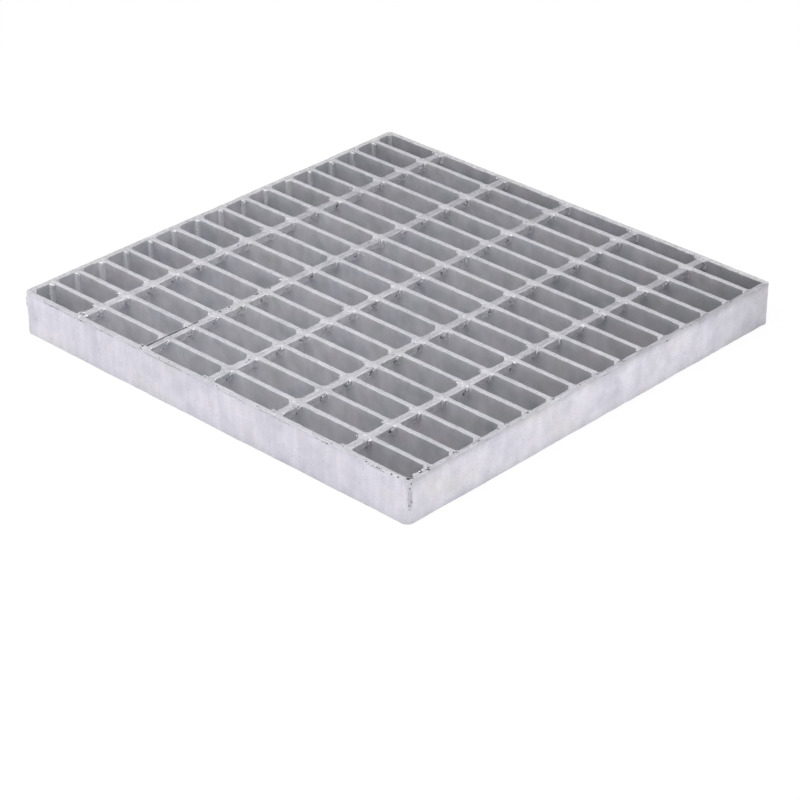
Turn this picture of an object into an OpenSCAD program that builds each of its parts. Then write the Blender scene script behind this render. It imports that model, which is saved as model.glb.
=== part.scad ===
// Square steel grating panel: bearing bars on edge, cross bars let in flush with
// their tops, and a band of the same flat bar welded round the four sides.
// X runs along the bearing bars and Y across them. The panel lies on Z = 0, with
// the origin under its middle.

/* [Panel] */
// Length of the panel along the bearing bars, over the bands
panel_length = 450; // [200:1:1000]
// Width of the panel across the bearing bars, over the bands
panel_width = 450; // [200:1:1000]
// Depth of the panel: how tall the bearing bars and the bands stand
panel_depth = 40; // [25:1:80]

/* [Bearing bars] */
// Thickness of a bearing bar
bearing_thick = 5; // [3:0.5:10]
// Pitch of the bearing bars, centre to centre
bearing_pitch = 28.25; // [20:0.25:60]
// Centre of the first bearing bar, from the outer face of the front band
bearing_first = 29.2; // [22:0.1:60]
// Least clear gap left between the last bearing bar and the back band
bearing_last_gap = 12; // [8:1:30]

/* [Cross bars] */
// Width of a cross bar across its flat top
cross_width = 8.5; // [5:0.5:12]
// Depth of a cross bar, from its flush top to its round underside
cross_depth = 8.5; // [5:0.5:14]
// Width of the small chamfer along the two top edges of a cross bar
cross_chamfer = 0.8; // [0.3:0.1:1.5]
// Nominal pitch of the cross bars, centre to centre
cross_pitch = 77.9; // [40:0.1:150]
// Centre of the first cross bar, from the outer face of the left band
cross_first = 69.1; // [40:0.1:120]
// Least clear gap left between the last cross bar and the right band
cross_last_gap = 25; // [20:1:60]

/* [Bands] */
// Thickness of the banding flats
band_thick = 5; // [3:0.5:10]
// Outer radius of the front right corner, where a thick corner weld is dressed round
corner_front_right = 7; // [1:0.5:11]
// Outer radius of the front left corner
corner_front_left = 6; // [1:0.5:11]
// Outer radius of the back right corner
corner_back_right = 2.5; // [1:0.5:11]
// Outer radius of the back left corner
corner_back_left = 4; // [1:0.5:11]

/* [Welds] */
// Reach of the wide weld web along the bearing bar, on the left side of a crossing
web_reach = 5; // [1:0.5:6]
// Height of the wide weld web along the cross bar
web_rise = 5.5; // [1:0.5:6]
// Leg of the narrow weld web on the right side of a crossing
web_small = 2.5; // [0.5:0.5:4]
// How far the webs on the back side of a bearing bar stop below its top
web_drop = 1.5; // [0:0.5:3]
// Leg of the fillet weld that holds a bearing bar to the end bands
end_weld = 4.5; // [1:0.5:6]
// Leg of the fillet weld that holds a cross bar to the front and back bands
band_weld = 3.5; // [1:0.5:5]
// Leg of the weld inside the front left corner of the bands
inner_weld_front = 6; // [1:0.5:8]
// Leg of the weld inside the back left corner of the bands
inner_weld_back = 3; // [1:0.5:8]

/* [Hidden] */
// How far each cross bar in turn sits off its nominal place: they are set out by eye
cross_wander = [0, 3, 0.9, 1.7, 0];
// Sides of the half round underside of a cross bar
cross_facets = 6;
// Largest corner radius that two butted bands can hold, in band thicknesses
corner_limit = 2.2;
// Fineness of the corner arcs
$fn = 64;

half_length = panel_length / 2;
half_width = panel_width / 2;
inner_length = panel_length - 2 * band_thick;
inner_width = panel_width - 2 * band_thick;

bearing_y0 = -half_width + bearing_first;
bearing_room = half_width - band_thick - bearing_last_gap - bearing_thick / 2 - bearing_y0;
bearing_count = 1 + floor(bearing_room / bearing_pitch);
bearing_ys = [for (i = [0:bearing_count - 1]) bearing_y0 + i * bearing_pitch];

cross_x0 = -half_length + cross_first;
cross_room = half_length - band_thick - cross_last_gap - cross_width / 2 - cross_x0;
cross_count = 1 + floor(cross_room / cross_pitch);
cross_xs = [for (i = [0:cross_count - 1])
    cross_x0 + i * cross_pitch + cross_wander[i % len(cross_wander)]];

// Plan of the whole panel, with its four corners rounded by their own radii
module panel_plan() {
    difference() {
        square([panel_length, panel_width], center = true);
        corner_cut(1, -1, corner_front_right);
        corner_cut(-1, -1, corner_front_left);
        corner_cut(1, 1, corner_back_right);
        corner_cut(-1, 1, corner_back_left);
    }
}

// What is taken off one corner: side_x and side_y are 1 or -1 and choose the corner
module corner_cut(side_x, side_y, radius) {
    over = 1;
    r = min(radius, corner_limit * band_thick);
    translate([side_x * (half_length - r), side_y * (half_width - r)])
        mirror([side_x < 0 ? 1 : 0, 0])
            mirror([0, side_y < 0 ? 1 : 0])
                difference() {
                    square(r + over);
                    circle(r);
                }
}

// A fillet weld in plan: its square corner at the origin, its legs along_x and along_y
module fillet_plan(along_x, along_y) {
    polygon([[0, 0], [along_x, 0], [0, along_y]]);
}

// One bearing bar in plan, with the fillet welds that hold its two ends to the bands
module bearing_plan() {
    square([inner_length, bearing_thick], center = true);
    for (end = [-1, 1], side = [-1, 1])
        translate([end * inner_length / 2, side * bearing_thick / 2])
            fillet_plan(-end * end_weld, side * end_weld);
}

// One bearing bar standing on edge
module bearing_bar() {
    linear_extrude(panel_depth) bearing_plan();
}

// Weld metal round a crossing in plan, on one side of the bearing bar: side is 1 or -1
module crossing_web(side) {
    translate([0, side * bearing_thick / 2])
        polygon([
            [-cross_width / 2 - web_reach, 0],
            [-cross_width / 2, side * web_rise],
            [cross_width / 2, side * web_small],
            [cross_width / 2 + web_small, 0]
        ]);
}

// The weld metal round one crossing, as deep as the cross bar
module crossing_weld() {
    translate([0, 0, panel_depth - cross_depth]) {
        linear_extrude(cross_depth) crossing_web(-1);
        linear_extrude(cross_depth - web_drop) crossing_web(1);
    }
}

// The fillet welds at the two ends of a cross bar, as deep as the bar
module cross_end_welds() {
    for (end = [-1, 1], side = [-1, 1])
        translate([side * cross_width / 2, end * inner_width / 2, panel_depth - cross_depth])
            linear_extrude(cross_depth) union() {
                fillet_plan(side * band_weld, -end * band_weld);
                fillet_plan(-side * cross_width / 2, -end * band_weld);
            }
}

// Section of a cross bar: flat top at 0, chamfered top edges and a half round underside
function cross_section() = let (
    r = cross_width / 2,
    c = cross_chamfer,
    round_depth = min(r, cross_depth - c)
) concat(
    [[r - c, 0], [-r + c, 0], [-r, -c]],
    [for (i = [0:cross_facets]) let (a = 180 + i * 180 / cross_facets)
        [r * cos(a), round_depth - cross_depth + round_depth * sin(a)]],
    [[r, -c]]
);

// One cross bar, lying along Y between the front and back bands
module cross_bar() {
    translate([0, inner_width / 2, panel_depth])
        rotate([90, 0, 0])
            linear_extrude(inner_width) polygon(cross_section());
}

// The bearing bars and cross bars, fused where they cross
module bar_grid() {
    color("#b9bac0") {
        for (y = bearing_ys) translate([0, y, 0]) bearing_bar();
        for (x = cross_xs) translate([x, 0, 0]) {
            cross_bar();
            cross_end_welds();
        }
        for (x = cross_xs, y = bearing_ys) translate([x, y, 0]) crossing_weld();
    }
}

// A band that runs the full length of the panel, with the weld inside its left corner:
// side is -1 at the front, 1 at the back
module long_band(side, inner_weld) {
    outer_y = side * half_width;
    inner_y = side * inner_width / 2;
    corner_x = -inner_length / 2;
    color("#d6d5de")
        linear_extrude(panel_depth)
            intersection() {
                panel_plan();
                polygon([
                    [-half_length, outer_y],
                    [half_length, outer_y],
                    [half_length, inner_y],
                    [corner_x + inner_weld, inner_y],
                    [corner_x, inner_y - side * inner_weld],
                    [corner_x, inner_y],
                    [-half_length, inner_y]
                ]);
            }
}

// A band that closes the bar ends, between the long bands: side is -1 left, 1 right
module end_band(side) {
    color("#c8c7d0")
        linear_extrude(panel_depth)
            intersection() {
                panel_plan();
                translate([side * (half_length - band_thick / 2), 0])
                    square([band_thick, inner_width], center = true);
            }
}

module front_band() { long_band(-1, inner_weld_front); }
module back_band() { long_band(1, inner_weld_back); }
module left_band() { end_band(-1); }
module right_band() { end_band(1); }

bar_grid();
front_band();
back_band();
left_band();
right_band();
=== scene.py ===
# %% [markdown]
# # A steel grating panel, dressed in hot-dip zinc
#
# The real thing is a square of welded grating: fifteen flat bars stand on edge, five
# cross bars are let in flush with their tops, and four flats close the outside. It was
# welded from black steel and then dipped whole in molten zinc.
#
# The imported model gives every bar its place. This lesson puts the surface on it: eased
# edges, weld metal, runs of zinc and a studio to see them in.

# %% The fixed frame
import math
import random

import bmesh
import bpy
from mathutils import Matrix, Vector, noise


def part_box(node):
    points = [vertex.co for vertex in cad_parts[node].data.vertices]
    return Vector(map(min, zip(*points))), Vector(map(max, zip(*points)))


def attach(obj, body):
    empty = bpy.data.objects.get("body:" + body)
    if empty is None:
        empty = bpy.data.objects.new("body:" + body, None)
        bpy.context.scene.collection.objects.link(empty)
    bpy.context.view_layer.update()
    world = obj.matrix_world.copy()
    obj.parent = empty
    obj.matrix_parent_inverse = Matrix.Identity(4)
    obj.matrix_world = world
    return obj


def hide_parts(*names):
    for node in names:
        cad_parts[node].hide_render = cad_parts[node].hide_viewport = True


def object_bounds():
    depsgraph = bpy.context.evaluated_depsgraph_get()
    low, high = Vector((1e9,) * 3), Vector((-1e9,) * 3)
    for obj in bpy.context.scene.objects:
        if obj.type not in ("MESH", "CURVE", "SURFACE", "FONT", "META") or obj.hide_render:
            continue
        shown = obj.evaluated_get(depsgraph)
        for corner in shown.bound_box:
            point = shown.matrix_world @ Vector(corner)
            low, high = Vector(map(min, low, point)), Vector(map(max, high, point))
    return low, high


NOISE_SEED = 1
noise.seed_set(NOISE_SEED)      # the smooth noise would otherwise start from the clock
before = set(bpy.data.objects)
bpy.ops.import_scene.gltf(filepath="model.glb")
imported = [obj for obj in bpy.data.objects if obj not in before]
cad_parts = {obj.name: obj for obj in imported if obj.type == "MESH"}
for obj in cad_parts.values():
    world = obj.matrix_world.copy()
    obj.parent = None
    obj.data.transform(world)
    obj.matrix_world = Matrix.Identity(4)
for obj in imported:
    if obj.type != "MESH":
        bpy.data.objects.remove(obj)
cad_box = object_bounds()
print("nodes:", sorted(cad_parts))
print("box of the packed model:", [list(corner) for corner in cad_box])

# %% [markdown]
# ## Sizes
#
# Shapes below are built in millimetres, as they are in the workshop, and turned to
# metres when each mesh is finished. The outside, the bands and the depth come from the
# frame. The pitches are the numbers that the bars were set out by.

# %% The panel's own sizes
MM = 0.001
HALF = cad_box[1].x / MM                       # outer face of a band, from the middle
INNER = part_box("bar_grid")[1].x / MM           # inner face of a band, from the middle
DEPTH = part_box("bar_grid")[1].z / MM
BAR_THICK = 5.0
FIRST_BAR, BAR_PITCH, BAR_COUNT = -195.8, 28.25, 15
BAR_YS = [FIRST_BAR + BAR_PITCH * i for i in range(BAR_COUNT)]
CROSS_XS = [-155.9, -75.0, 0.8, 79.5, 155.7]   # set out by eye, so not quite even
CROSS_WIDTH = 8.5
CROSS_DEPTH = 8.5
BAR_SIDE = BAR_THICK / 2                       # the side of a bar, from its own middle
CROSS_SIDE = CROSS_WIDTH / 2
print(f"half {HALF:.1f}, inner {INNER:.1f}, depth {DEPTH:.1f} mm")
print(f"{len(BAR_YS)} bearing bars from {BAR_YS[0]:.1f} to {BAR_YS[-1]:.1f} mm")

# %% [markdown]
# ## Camera
#
# A panel this flat is best seen from above one corner. A long lens from over two metres
# keeps its edges close to parallel, so the pitch of the bars reads evenly.

# %% Camera
camera_data = bpy.data.cameras.new("camera")
camera_data.lens = 126.18
camera_data.sensor_width = 36
camera_data.clip_end = 20
camera = bpy.data.objects.new("camera", camera_data)
camera.location = (1.46188, -1.53327, 1.15079)
looking = Vector((-0.59711, 0.62740, -0.49984))
camera.rotation_euler = looking.to_track_quat("-Z", "Y").to_euler()
bpy.context.scene.collection.objects.link(camera)
bpy.context.scene.camera = camera
print(f"camera {camera.location.length:.2f} m from the middle of the panel")

# %% [markdown]
# ## Colour and nodes
#
# A colour is written as it would be in a paint program and turned to the linear values
# that a shader works in. One small function adds a node, sets its values and joins its
# inputs, so each material below reads as a list of steps.


# %% Colour and node helpers
def linear(hex_colour):
    """Turns an sRGB hex colour into linear red, green, blue and alpha."""
    parts = [int(hex_colour[i:i + 2], 16) / 255 for i in (1, 3, 5)]
    return [c / 12.92 if c <= 0.04045 else ((c + 0.055) / 1.055) ** 2.4 for c in parts] + [1]


def add_node(tree, kind, settings=None, inputs=None):
    """Adds one node. An input that is a socket is linked, and any other value is set."""
    made = tree.nodes.new(kind)
    for name, value in (settings or {}).items():
        setattr(made, name, value)
    for name, value in (inputs or {}).items():
        if isinstance(value, bpy.types.NodeSocket):
            tree.links.new(value, made.inputs[name])
        else:
            made.inputs[name].default_value = value
    return made


def new_tree(name):
    """Makes an empty material and returns it with its node tree."""
    material = bpy.data.materials.new(name)
    material.use_nodes = True
    material.node_tree.nodes.clear()
    return material, material.node_tree


# %% [markdown]
# ## Room and lamps
#
# A metal shows what is around it, so the room is most of its look. This one is white and
# even on all sides. A large soft lamp hangs high in front, so the panel darkens a little
# towards its back, and a smaller one behind on the right finds the lips of the cross bars.

# %% Room and lamps
ROOM = 0.76               # strength of the light that comes evenly from all sides
FRONT_LAMP = 10.0         # watts
BACK_LAMP = 5.0

bpy.context.scene.view_settings.view_transform = "Standard"
world = bpy.data.worlds.new("white_room")
bpy.context.scene.world = world
world.use_nodes = True
world.node_tree.nodes.clear()
room_light = add_node(world.node_tree, "ShaderNodeBackground", {},
                      {"Color": linear("#ffffff"), "Strength": ROOM})
add_node(world.node_tree, "ShaderNodeOutputWorld", {},
         {"Surface": room_light.outputs["Background"]})


def soft_lamp(name, power, size, place, aim):
    """Hangs a square area lamp, turned to face a point on the panel."""
    data = bpy.data.lights.new(name, "AREA")
    data.energy = power
    data.size = size
    lamp = bpy.data.objects.new(name, data)
    lamp.location = place
    lamp.rotation_euler = (Vector(aim) - Vector(place)).to_track_quat("-Z", "Y").to_euler()
    bpy.context.scene.collection.objects.link(lamp)


soft_lamp("front_lamp", FRONT_LAMP, 1.4, (0.05, -1.05, 1.20), (0, -0.05, 0))
soft_lamp("back_lamp", BACK_LAMP, 0.3, (1.10, 1.15, 1.45), (0, 0, 0))
print("room", ROOM, "and lamps", FRONT_LAMP, BACK_LAMP, "W")

# %% [markdown]
# ## Floor
#
# The panel lies on a plain pale floor. The eye and the metal see it nearly as pure white
# light, and every other ray meets matt white, so the floor keeps a faint shadow of the
# panel and throws no extra light on it. Light Path tells the kinds of ray apart.

# %% Floor
FLOOR_GLOW = 0.88         # share of pure white in what the eye and the metal see
FLOOR_WHITE = 1.02
FLOOR_REACH = 4           # metres from the middle to its edge
FLOOR_GAP = 0.0003        # metres under the panel, so that the two never share a plane

floor_finish, tree = new_tree("matt_white_floor")
path = add_node(tree, "ShaderNodeLightPath").outputs
seen = add_node(tree, "ShaderNodeMath", {"operation": "MAXIMUM"},
                {0: path["Is Camera Ray"], 1: path["Is Glossy Ray"]}).outputs[0]
seen = add_node(tree, "ShaderNodeMath", {"operation": "MAXIMUM"},
                {0: seen, 1: path["Is Transmission Ray"]}).outputs[0]
share = add_node(tree, "ShaderNodeMath", {"operation": "MULTIPLY"},
                 {0: seen, 1: FLOOR_GLOW}).outputs[0]
matt = add_node(tree, "ShaderNodeBsdfDiffuse", {}, {"Color": linear("#f4f4f4")})
white = add_node(tree, "ShaderNodeEmission", {},
                 {"Color": linear("#ffffff"), "Strength": FLOOR_WHITE})
mixed = add_node(tree, "ShaderNodeMixShader", {},
                 {0: share, 1: matt.outputs[0], 2: white.outputs[0]})
add_node(tree, "ShaderNodeOutputMaterial", {}, {"Surface": mixed.outputs[0]})

bm = bmesh.new()
bmesh.ops.create_grid(bm, x_segments=1, y_segments=1, size=FLOOR_REACH,
                      matrix=Matrix.Translation((0, 0, -FLOOR_GAP)))
floor_mesh = bpy.data.meshes.new("floor")
bm.to_mesh(floor_mesh)
bm.free()
floor_mesh.materials.append(floor_finish)
floor = bpy.data.objects.new("floor", floor_mesh)
bpy.context.scene.collection.objects.link(floor)
print("floor", 2 * FLOOR_REACH, "m across")

# %% [markdown]
# ## Hot-dip zinc
#
# Steel that has been dipped in zinc and left to drain is a pale metal with a hint of
# violet. It is never one grey: the coat is clouded in patches a few centimetres wide,
# streaked where it ran down as the panel was lifted, and sown with fine grit and dross.
# The clouds, runs and grit are three noises, each at its real size. A fresh coat is
# fairly matt, with a roughness near a half.
#
# One function makes every coat, and each kind of surface has its own numbers. The outside
# of the bands is palest. The tops are rubbed along their length. The walls of the cells
# have a darker colour, a painted shade for their depth. Ramps along the axes paint in the
# fall-off of the lamps and the shade near the floor, at edges and round the cross bars.
# Weld metal is smoother, so its humps catch the lamps.

# %% The zinc coat
METAL_SHARE = 0.55        # a dipped coat soon carries a film of pale, matt zinc carbonate
CLOUD_SIZE = (34, 34, 26)                  # mm, as are all the sizes of a coat
CLOUD_STOPS = (0.30, 0.43, 0.56, 0.70)
GRIT_SIZE = (1.3, 1.3, 1.3)
BLOT_SIZE = (13, 13, 17)
RUB_SIZE = (0.7, 6, 26)
RUB_SLANT = 38                             # degrees off the upright
RELIEF = 0.35                              # how deep the bumps of the coat are


def zinc_coat(name, clouds, run_size, run_depth, rough, grit=1.0, bump=0.25, pits=0.0,
              pit_size=(1.6, 1.6, 1.6), patch=0.05, painted_shading=(), scratches=0.0):
    """Builds one kind of zinc coat. Sizes are in millimetres along X, Y and Z."""
    material, tree = new_tree(name)
    place = add_node(tree, "ShaderNodeTexCoord").outputs["Object"]

    def grown(size, detail, shift):
        """A noise whose patches are about as large as size."""
        mapped = add_node(tree, "ShaderNodeMapping", {}, {
            "Vector": place, "Location": (shift, shift * 0.7, shift * 1.3),
            "Scale": [1 / (MM * s) for s in size]})
        return add_node(tree, "ShaderNodeTexNoise", {}, {
            "Vector": mapped.outputs[0], "Scale": 1.0, "Detail": detail,
            "Roughness": 0.55}).outputs["Fac"]

    # clouds: slow changes of tint, in patches about 30 mm wide
    cloud = grown(CLOUD_SIZE, 2.0, 3.1)
    tint = add_node(tree, "ShaderNodeValToRGB", {}, {"Fac": cloud})
    ramp = tint.color_ramp
    for place_at, colour in zip(CLOUD_STOPS, clouds):
        stop = ramp.elements.new(place_at)
        stop.color = linear(colour)
    ramp.elements.remove(ramp.elements[-1])
    ramp.elements.remove(ramp.elements[0])

    # runs: streaks a few millimetres wide, drawn out the way the zinc drained
    run = grown(run_size, 3.0, 11.7)
    run_shade = add_node(tree, "ShaderNodeMapRange", {}, {
        "Value": run, "From Min": 0.30, "From Max": 0.70,
        "To Min": 1.0 - run_depth, "To Max": 1.0 + run_depth * 0.5}).outputs[0]

    # grit: dross and grain just over a millimetre across
    speck = grown(GRIT_SIZE, 3.0, 23.9)
    grit_shade = add_node(tree, "ShaderNodeMapRange", {}, {
        "Value": speck, "From Min": 0.32, "From Max": 0.68,
        "To Min": 1.0 - 0.05 * grit, "To Max": 1.0 + 0.03 * grit}).outputs[0]
    shade = add_node(tree, "ShaderNodeMath", {"operation": "MULTIPLY"},
                     {0: run_shade, 1: grit_shade}).outputs[0]

    # patches: where the coat is thicker it is a little paler, in blots of a centimetre
    blot = grown(BLOT_SIZE, 2.0, 31.3)
    blot_shade = add_node(tree, "ShaderNodeMapRange", {}, {
        "Value": blot, "From Min": 0.3, "From Max": 0.7,
        "To Min": 1.0 - patch, "To Max": 1.0 + patch}).outputs[0]
    shade = add_node(tree, "ShaderNodeMath", {"operation": "MULTIPLY"},
                     {0: shade, 1: blot_shade}).outputs[0]
    # painted shading: ramps along an axis darken the colour where the light falls off or shade
    # falls
    for axis, low, high, stops in painted_shading:
        where = add_node(tree, "ShaderNodeSeparateXYZ", {}, {"Vector": place}).outputs[axis]
        share = add_node(tree, "ShaderNodeMapRange", {}, {
            "Value": where, "From Min": low * MM, "From Max": high * MM}).outputs[0]
        painted_ramp = add_node(tree, "ShaderNodeValToRGB", {}, {"Fac": share})
        for at, value in stops:
            painted_ramp.color_ramp.elements.new(at).color = (value, value, value, 1)
        painted_ramp.color_ramp.elements.remove(painted_ramp.color_ramp.elements[0])
        painted_ramp.color_ramp.elements.remove(painted_ramp.color_ramp.elements[-1])
        shade = add_node(tree, "ShaderNodeMath", {"operation": "MULTIPLY"},
                         {0: shade, 1: painted_ramp.outputs[0]}).outputs[0]

    # scratches: fine slanting rubs under a millimetre wide and a couple of centimetres long
    if scratches:
        slant = add_node(tree, "ShaderNodeMapping", {"vector_type": "TEXTURE"}, {
            "Vector": place, "Rotation": (0.0, math.radians(RUB_SLANT), 0.3),
            "Scale": [MM * s for s in RUB_SIZE]})
        rub = add_node(tree, "ShaderNodeTexNoise", {}, {
            "Vector": slant.outputs[0], "Scale": 1.0, "Detail": 0.0}).outputs["Fac"]
        rub = add_node(tree, "ShaderNodeMapRange", {}, {
            "Value": rub, "From Min": 0.77, "From Max": 0.87,
            "To Min": 1.0, "To Max": 1.0 + scratches}).outputs[0]
        shade = add_node(tree, "ShaderNodeMath", {"operation": "MULTIPLY"},
                         {0: shade, 1: rub}).outputs[0]

    # pits: small dark hollows where the coat did not take
    height = add_node(tree, "ShaderNodeMath", {"operation": "MULTIPLY_ADD"},
                      {0: run, 1: 1.6, 2: speck}).outputs[0]
    if pits:
        hole = grown(pit_size, 1.0, 41.3)
        hole = add_node(tree, "ShaderNodeMapRange", {}, {
            "Value": hole, "From Min": 0.66, "From Max": 0.76,
            "To Min": 0.0, "To Max": 1.0}).outputs[0]
        hole_shade = add_node(tree, "ShaderNodeMath", {"operation": "MULTIPLY_ADD"},
                              {0: hole, 1: -pits, 2: 1.0}).outputs[0]
        shade = add_node(tree, "ShaderNodeMath", {"operation": "MULTIPLY"},
                         {0: shade, 1: hole_shade}).outputs[0]
        height = add_node(tree, "ShaderNodeMath", {"operation": "SUBTRACT"},
                          {0: height, 1: hole}).outputs[0]
    # a Mix node has its colour sockets at 6 and 7, and its colour result at 2
    colour = add_node(tree, "ShaderNodeMix", {"data_type": "RGBA", "blend_type": "MULTIPLY"},
                      {0: 1.0, 6: tint.outputs[0], 7: shade})
    dull = add_node(tree, "ShaderNodeMapRange", {}, {
        "Value": cloud, "From Min": 0.3, "From Max": 0.7,
        "To Min": rough + 0.06, "To Max": rough - 0.06}).outputs[0]
    bumps = add_node(tree, "ShaderNodeBump", {}, {
        "Height": height, "Strength": bump, "Distance": RELIEF * MM})
    metal = add_node(tree, "ShaderNodeBsdfPrincipled", {}, {
        "Base Color": colour.outputs[2], "Metallic": METAL_SHARE, "Roughness": dull,
        "Normal": bumps.outputs[0]})
    add_node(tree, "ShaderNodeOutputMaterial", {}, {"Surface": metal.outputs[0]})
    print(f"{name}: {len(tree.nodes)} nodes")
    return material


# %% [markdown]
# ## The coat on the bands
#
# The bands hang upright in the bath and drain freely, so they keep the palest and most
# even coat. Each `painted_shading` row paints shade along one axis, as pairs of a
# place from 0 to 1 and a share of the full colour.

# %% Bands
# the front and back bands: pale and matt, with painted shade along the foot and the top
# edge, and painted shade away from the left end
zinc_on_bands = zinc_coat(
    "hot_dip_zinc_bands", ("#dbd9e4", "#e1dfe9", "#e4e1eb", "#e1dfe4"),
    run_size=(6, 6, 45), run_depth=0.07, rough=0.55, pits=0.2, patch=0.05,
    painted_shading=[("Z", 0, DEPTH, ((0.02, 0.90), (0.2, 0.97), (0.4, 1.0), (0.88, 1.0),
                              (0.97, 0.93))),
             ("X", -HALF, HALF, ((0.03, 1.0), (0.09, 0.99), (0.2, 0.92), (0.35, 0.94),
                                 (0.5, 0.935), (0.65, 0.92), (0.8, 0.92), (0.95, 0.93)))])
# the left and right bands: the same coat in broader clouds, with painted shade at the
# back end, along the foot and along the top edge
zinc_on_end_bands = zinc_coat(
    "hot_dip_zinc_end_bands", ("#dedce6", "#e4e2eb", "#e7e4ed", "#e4e2e6"),
    run_size=(9, 9, 45), run_depth=0.04, rough=0.55, pits=0.35, patch=0.08,
    painted_shading=[("Z", 0, DEPTH, ((0.02, 0.84), (0.2, 0.94), (0.5, 1.0), (0.80, 1.0),
                              (0.90, 0.93), (0.97, 0.78))),
             ("Y", -HALF, HALF, ((0.02, 0.94), (0.15, 1.0), (0.74, 0.98), (0.86, 0.93),
                                 (0.95, 0.77)))])

# %% [markdown]
# ## The coat on the tops
#
# What is walked on and wiped is rubbed along its length, so the runs of these coats are
# drawn out along the bar. Grit and small pits show more here than on the sides.

# %% Tops
# the tops of the bearing bars and the front band: a clear pale grey, finely lined along X
zinc_on_x_tops = zinc_coat(
    "hot_dip_zinc_tops_along_x", ("#d3d3da", "#dadae1", "#dedde4", "#dadadf"),
    run_size=(16, 1.2, 16), run_depth=0.14, rough=0.55, grit=2.4, pits=0.5,
    pit_size=(2.6, 1.1, 2),
    # painted shade: the colour falls off towards the right and the back, as the light does
    painted_shading=[("X", -HALF, HALF, ((0.02, 1.0), (0.6, 1.0), (0.97, 0.96))),
             ("Y", -HALF, HALF, ((0.02, 1.0), (0.6, 0.99), (0.97, 0.94)))])
# the tops of the cross bars and the right band: rougher, lined along Y, painted shade to the
# back
zinc_on_y_tops = zinc_coat(
    "hot_dip_zinc_tops_along_y", ("#cfcfd6", "#d6d5dc", "#dad8e0", "#d5d5da"),
    run_size=(1.2, 16, 16), run_depth=0.27, rough=0.5, grit=2.6, pits=0.75,
    pit_size=(1.1, 2.6, 2),
    painted_shading=[("Y", -HALF, HALF, ((0.02, 1.0), (0.35, 1.0), (0.6, 0.845), (0.97, 0.765)))])
# the tops of the left and back bands: mottled rather than lined, and a plainer grey
zinc_on_far_tops = zinc_coat(
    "hot_dip_zinc_tops_of_far_bands", ("#d6d5d9", "#dddcdf", "#e1e0e3", "#dedddc"),
    run_size=(4, 4, 4), run_depth=0.20, rough=0.55, grit=2.6, pits=0.6, pit_size=(1.8, 1.8, 2))

# %% [markdown]
# ## The coat in the cells
#
# The walls of the cells are the darkest part of the panel. They see little of the room,
# and their darker colour is a painted shade on top of that. Round each cross bar the
# colour carries painted light and shade; the list below gives that shade at a few places
# round each cross bar.

# %% Cell walls
painted_shade_by_the_bars = [((x + off + HALF) / (2 * HALF), value) for x in CROSS_XS for off, value in
               ((-8, 0.85), (-4, 0.96), (4, 0.94), (9, 0.91), (18, 0.90), (34, 0.86))]
# the sides of the bearing bars: soft grey clouds with a few slanting scratches, in a
# colour darkened as painted shade, most towards the back right
zinc_in_cells_painted_shade = zinc_coat(
    "hot_dip_zinc_cell_walls_painted_shade", ("#c7c9cf", "#d2d3da", "#dbd8de", "#d0d4d5"),
    run_size=(9, 9, 60), run_depth=0.03, rough=0.55, grit=0.7, patch=0.10, scratches=0.15,
    painted_shading=[("X", -HALF, HALF, painted_shade_by_the_bars),
             ("X", -HALF, HALF, ((0.02, 1.0), (0.5, 1.0), (0.8, 0.91), (0.97, 0.80))),
             ("Y", -HALF, HALF, ((0.02, 1.0), (0.55, 0.98), (0.97, 0.87)))])
# the sides of the cross bars: painted light low down and painted shade right under the lip
# and towards the back right
zinc_on_bar_sides_painted_shade = zinc_coat(
    "hot_dip_zinc_sides_of_cross_bars_painted_shade", ("#d5d6dd", "#dfe0e7", "#e6e4eb", "#dfe2e4"),
    run_size=(4, 4, 6), run_depth=0.14, rough=0.6, grit=1.5, patch=0.10, pits=0.4,
    painted_shading=[("X", -HALF, HALF, ((0.02, 1.0), (0.5, 1.0), (0.97, 0.88))),
             ("Y", -HALF, HALF, ((0.02, 1.0), (0.4, 1.0), (0.97, 0.85))),
             ("Z", DEPTH - CROSS_DEPTH, DEPTH,
              ((0.06, 1.0), (0.29, 0.97), (0.41, 0.9), (0.53, 0.77),
               (0.65, 0.65), (0.77, 0.59), (0.9, 0.6)))])

# %% [markdown]
# ## The coat on weld metal
#
# Weld metal froze in ripples, so its coat has more relief and is smoother between the
# bumps. A bead of pure zinc is pale, and its near-white colour is partly a painted
# highlight; a weld that was ground down is dull.

# %% Weld metal and beads
# welds: lively pale and grey flecks that catch the lamps, with painted shade to the back
zinc_on_welds = zinc_coat(
    "hot_dip_zinc_weld_metal", ("#d0cfd7", "#dbdae1", "#e5e3e9", "#dadade"),
    run_size=(2.6, 2.6, 9), run_depth=0.16, rough=0.4, grit=2.6, pits=0.45, bump=0.9,
    pit_size=(1.7, 1.7, 1.7), patch=0.08,
    painted_shading=[("Y", -HALF, HALF, ((0.02, 1.0), (0.6, 0.97), (0.97, 0.92)))])
# beads and runs of zinc: nearly white, partly a painted highlight, with painted shade to the
# back
bright_beads = zinc_coat(
    "bright_zinc_beads", ("#f2f2f5", "#f5f5f8", "#f6f5f9", "#f4f4f6"),
    run_size=(3, 3, 9), run_depth=0.04, rough=0.24,
    painted_shading=[("Y", -HALF, HALF, ((0.02, 1.0), (0.5, 1.0), (0.97, 0.88)))])
# the ground weld of the front right corner: a grey, pitted stripe, palest near its top
dressed_weld = zinc_coat(
    "dressed_weld_metal", ("#c6c5cd", "#cccbd3", "#d2d0d8", "#cccbd1"),
    run_size=(2, 2, 9), run_depth=0.14, rough=0.5, grit=2.6, pits=0.4, bump=0.5,
    pit_size=(1.3, 1.3, 1.8),
    painted_shading=[("Z", 0, DEPTH, ((0.3, 0.94), (0.42, 0.9), (0.66, 0.9), (0.8, 1.03)))])

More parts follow.
